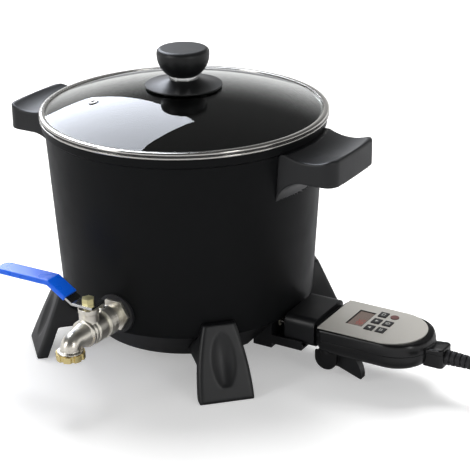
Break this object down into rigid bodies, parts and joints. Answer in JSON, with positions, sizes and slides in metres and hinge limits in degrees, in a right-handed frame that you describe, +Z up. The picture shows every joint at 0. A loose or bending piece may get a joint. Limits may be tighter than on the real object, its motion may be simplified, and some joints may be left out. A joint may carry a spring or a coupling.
{
  "type": "candle wax melter",
  "caption": "Electric candle wax melting pot with domed glass lid, lever drain valve at the bottom, side handles and a plug-in digital temperature controller on a lead.",
  "frame": {"origin": "on the table under the middle of the bounding box, lead, coil and plug left out", "axes": "+Z up along the vessel's axis; +X towards the controller; -Y towards the drain valve"},
  "size_m": [0.6212, 0.3337, 0.2817],
  "materials": {
    "pot_coating": "satin black non-stick coating on cast aluminium",
    "steel": "satin stainless steel",
    "nickel": "nickel-plated brass",
    "chrome": "polished chrome",
    "brass": "machined brass",
    "black_plastic": "moulded black phenolic",
    "gloss_black": "smooth black plastic",
    "glass": "clear tempered glass",
    "smoked_window": "smoked red display pane",
    "digits": "red display module",
    "face": "brushed aluminium",
    "board": "green circuit board",
    "key_rubber": "black silicone key",
    "power_red": "red-brown silicone key",
    "gasket": "black rubber",
    "blue_sleeve": "blue vinyl sleeve",
    "seat": "white fluoropolymer",
    "ceramic": "ceramic bush",
    "cord": "black cord jacket"
  },
  "bodies": {
    "pot": {"pot_vessel": "pot_coating", "heating_element": "steel", "element_terminals": "steel", "terminal_bushes": "ceramic", "probe_well": "pot_coating", "inlet_guard": "black_plastic", "base_ring": "black_plastic", "foot_front_right": "black_plastic", "foot_front_left": "black_plastic", "foot_rear_left": "black_plastic", "foot_rear_right": "black_plastic", "foot_screws": "steel", "handle_right": "black_plastic", "handle_left": "black_plastic", "handle_screws": "steel", "valve_gaskets": "gasket", "valve_locknut": "nickel", "valve_tailpiece": "nickel", "valve_body": "nickel", "seat_rings": "seat", "gland_nut": "nickel", "spout_collar": "brass"},
    "lid": {"lid_glass": "glass", "lid_band": "steel", "vent_eyelet": "steel", "knob_plate": "black_plastic", "knob_neck": "chrome", "lid_knob": "black_plastic", "knob_washer": "steel", "knob_screw": "steel"},
    "lever": {"valve_ball": "chrome", "valve_stem": "nickel", "valve_lever": "steel", "lever_sleeve": "blue_sleeve", "lever_nut": "steel"},
    "controller": {"controller_upper_shell": "gloss_black", "controller_lower_shell": "gloss_black", "probe_shroud": "black_plastic", "face_plate": "face", "display_window": "smoked_window", "display_module": "digits", "circuit_board": "board", "probe_rod": "steel", "contact_sleeves": "brass", "shell_screws": "steel", "lever_pin": "steel", "strain_relief": "gasket", "cord": "cord", "cord_coil": "cord", "plug": "cord", "plug_blades": "brass"},
    "release_lever": {"release_lever": "black_plastic"},
    "set_key": {"set_key": "key_rubber"},
    "down_key": {"down_key": "key_rubber"},
    "up_key": {"up_key": "key_rubber"},
    "power_key": {"power_key": "power_red"},
    "timer_key": {"timer_key": "key_rubber"},
    "mode_key": {"mode_key": "key_rubber"}
  },
  "joints": [
    {"name": "lid_lift", "type": "slide", "parent": "pot", "child": "lid", "axis": [0, 0, 1], "range_m": [0, 0.12]},
    {"name": "valve_turn", "type": "hinge", "parent": "pot", "child": "lever", "pos_m": [-0.046, -0.12555, 0.09], "axis": [0, 0, 1], "range_deg": [0, 90]},
    {"name": "controller_unplug", "type": "slide", "parent": "pot", "child": "controller", "axis": [1, 0, 0], "range_m": [0, 0.075]},
    {"name": "release_press", "type": "hinge", "parent": "controller", "child": "release_lever", "pos_m": [0.1147, 0.02015, 0.0195], "axis": [0, -1, 0], "range_deg": [0, 16], "stiffness_Nm_per_rad": 0.02, "springref_deg": -11.46},
    {"name": "set_key_press", "type": "slide", "parent": "controller", "child": "set_key", "axis": [0, 0, -1], "range_m": [0, 0.0006], "stiffness_N_per_m": 300, "springref_m": -0.0005},
    {"name": "down_key_press", "type": "slide", "parent": "controller", "child": "down_key", "axis": [0, 0, -1], "range_m": [0, 0.0006], "stiffness_N_per_m": 300, "springref_m": -0.0005},
    {"name": "up_key_press", "type": "slide", "parent": "controller", "child": "up_key", "axis": [0, 0, -1], "range_m": [0, 0.0006], "stiffness_N_per_m": 300, "springref_m": -0.0005},
    {"name": "power_key_press", "type": "slide", "parent": "controller", "child": "power_key", "axis": [0, 0, -1], "range_m": [0, 0.0006], "stiffness_N_per_m": 300, "springref_m": -0.0005},
    {"name": "timer_key_press", "type": "slide", "parent": "controller", "child": "timer_key", "axis": [0, 0, -1], "range_m": [0, 0.0006], "stiffness_N_per_m": 300, "springref_m": -0.0005},
    {"name": "mode_key_press", "type": "slide", "parent": "controller", "child": "mode_key", "axis": [0, 0, -1], "range_m": [0, 0.0006], "stiffness_N_per_m": 300, "springref_m": -0.0005}
  ]
}
